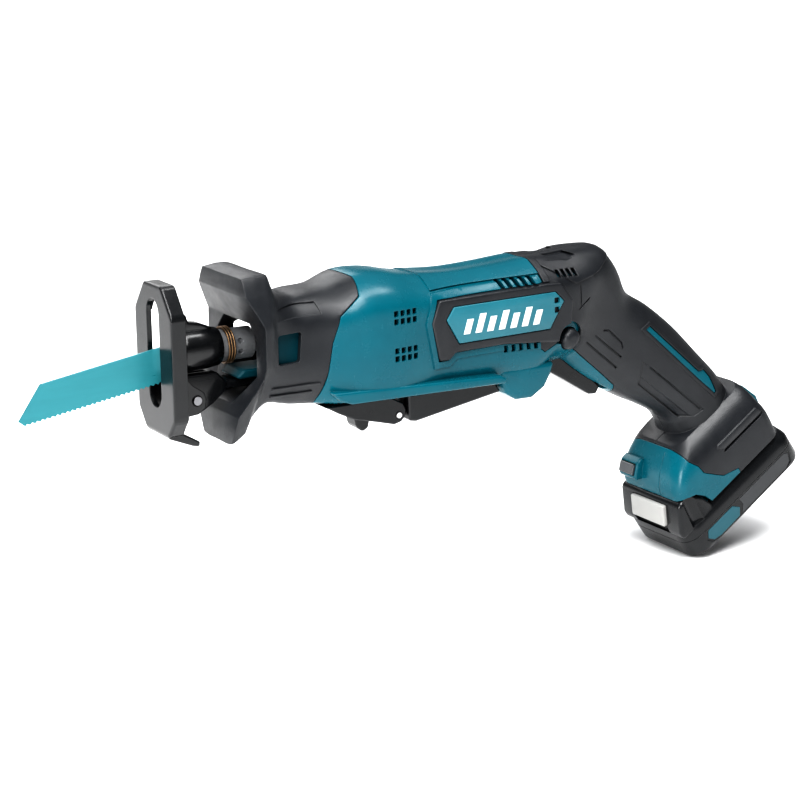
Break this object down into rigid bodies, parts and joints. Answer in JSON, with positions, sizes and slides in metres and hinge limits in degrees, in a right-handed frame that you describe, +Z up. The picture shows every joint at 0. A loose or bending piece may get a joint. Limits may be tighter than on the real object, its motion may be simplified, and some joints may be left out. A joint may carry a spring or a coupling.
{
  "type": "cordless reciprocating saw",
  "caption": "Compact cordless reciprocating saw: straight body, raked handle with slide-on battery foot, rubber nose collar, slotted shoe, quick-change blade clamp and folding hook.",
  "frame": {"origin": "the point where the stroke axis leaves the front face of the shoe, on the mid-plane", "axes": "+X back along the stroke axis towards the handle, with the blade pointing to -X; +Z up; +Y to the side that has the screw heads"},
  "size_m": [0.4276, 0.0626, 0.1781],
  "materials": {
    "teal_plastic": "semi-gloss moulded glass-filled nylon",
    "charcoal_elastomer": "fine matt grain",
    "black_plastic": "satin moulded",
    "black_enamel_steel": "glossy black coating",
    "teal_blade_paint": "satin paint over bimetal strip",
    "bright_steel": "ground",
    "dark_steel": "oiled, phosphated",
    "copper_spring_wire": "copper-washed spring wire",
    "sintered_bronze": "oil-filled sinter",
    "cast_alloy": "as cast",
    "ferrite": "matt ground ferrite",
    "off_white_plastic": "satin",
    "clear_lens": "clear moulded",
    "circuit_board": "solder resist",
    "cell_sleeve": "shrink sleeve"
  },
  "bodies": {
    "tool": {"badge_left": "teal_plastic", "badge_right": "teal_plastic", "contact_block": "black_plastic", "crank_bearing": "bright_steel", "foot_cover": "teal_plastic", "gear_case": "cast_alloy", "gear_case_lid": "cast_alloy", "grip_left": "charcoal_elastomer", "grip_right": "charcoal_elastomer", "hook_mount": "black_plastic", "hook_pin": "bright_steel", "housing_left": "teal_plastic", "housing_right": "teal_plastic", "housing_screw_1": "bright_steel", "housing_screw_2": "bright_steel", "housing_screw_3": "bright_steel", "housing_screw_4": "bright_steel", "lamp_board": "circuit_board", "lamp_lens": "clear_lens", "magnet_lower": "ferrite", "magnet_upper": "ferrite", "motor_can": "bright_steel", "motor_end_cap": "black_plastic", "motor_front_bearing": "bright_steel", "motor_rear_bearing": "bright_steel", "nose_boot": "charcoal_elastomer", "nose_guard": "teal_plastic", "plunger_bush": "sintered_bronze", "plunger_seal": "charcoal_elastomer", "shoe_guide_bar": "black_enamel_steel", "shoe_pin": "dark_steel", "speed_board": "circuit_board", "switch_body": "black_plastic", "trigger_spring": "bright_steel"},
    "plunger": {"plunger_rod": "bright_steel", "clamp_drum": "dark_steel", "clamp_pin": "bright_steel", "clamp_spring": "copper_spring_wire"},
    "sleeve": {"clamp_sleeve": "black_enamel_steel"},
    "blade": {"saw_blade": "teal_blade_paint"},
    "crank": {"crank_gear": "dark_steel", "crank_pin": "bright_steel"},
    "rotor": {"motor_rotor": "dark_steel", "cooling_fan": "black_plastic"},
    "shoe": {"shoe": "black_enamel_steel"},
    "trigger": {"trigger": "black_plastic"},
    "lock_button": {"lock_button": "charcoal_elastomer"},
    "hook": {"hook_arm": "black_plastic"},
    "battery": {"battery_case_bottom": "black_plastic", "battery_case_top": "black_plastic", "cell_1": "cell_sleeve", "cell_2": "cell_sleeve", "cell_3": "cell_sleeve"},
    "release_button": {"release_button": "off_white_plastic"}
  },
  "joints": [
    {"name": "plunger_stroke", "type": "slide", "parent": "tool", "child": "plunger", "axis": [1, 0, 0], "range_m": [-0.0065, 0.0065]},
    {"name": "crank_turn", "type": "hinge", "parent": "tool", "child": "crank", "pos_m": [0.104, 0, -0.012], "axis": [0, 0, 1], "range_deg": [-90.5, 90.5]},
    {"name": "rotor_spin", "type": "hinge", "parent": "tool", "child": "rotor", "pos_m": [0.15, 0, -0.003], "axis": [1, 0, 0], "range_deg": [-361, 361]},
    {"name": "clamp_sleeve_turn", "type": "hinge", "parent": "plunger", "child": "sleeve", "pos_m": [0.021, 0, 0], "axis": [1, 0, 0], "range_deg": [0, 40], "stiffness_Nm_per_rad": 0.08},
    {"name": "blade_removal", "type": "slide", "parent": "plunger", "child": "blade", "axis": [-1, 0, 0], "range_m": [0, 0.045]},
    {"name": "shoe_tilt", "type": "hinge", "parent": "tool", "child": "shoe", "pos_m": [0.016, 0, -0.022], "axis": [0, 1, 0], "range_deg": [-10, 4]},
    {"name": "trigger_pull", "type": "slide", "parent": "tool", "child": "trigger", "axis": [0.6429, 0, 0.7659], "range_m": [0, 0.006], "stiffness_N_per_m": 1200, "springref_m": -0.003},
    {"name": "lock_button_slide", "type": "slide", "parent": "tool", "child": "lock_button", "axis": [0, 1, 0], "range_m": [0, 0.004]},
    {"name": "hook_fold", "type": "hinge", "parent": "tool", "child": "hook", "pos_m": [0.117, 0, -0.041], "axis": [0, -1, 0], "range_deg": [0, 90]},
    {"name": "battery_slide", "type": "slide", "parent": "tool", "child": "battery", "axis": [-0.8192, 0, -0.5736], "range_m": [0, 0.075]},
    {"name": "battery_button", "type": "slide", "parent": "battery", "child": "release_button", "axis": [0.121, 0, -0.9927], "range_m": [0, 0.0035], "stiffness_N_per_m": 1500, "springref_m": -0.002}
  ],
  "couplings": [
    {"joint": "crank_turn", "follows": "plunger_stroke", "rad_per_m": -241.66},
    {"joint": "rotor_spin", "follows": "plunger_stroke", "rad_per_m": -966.64}
  ]
}
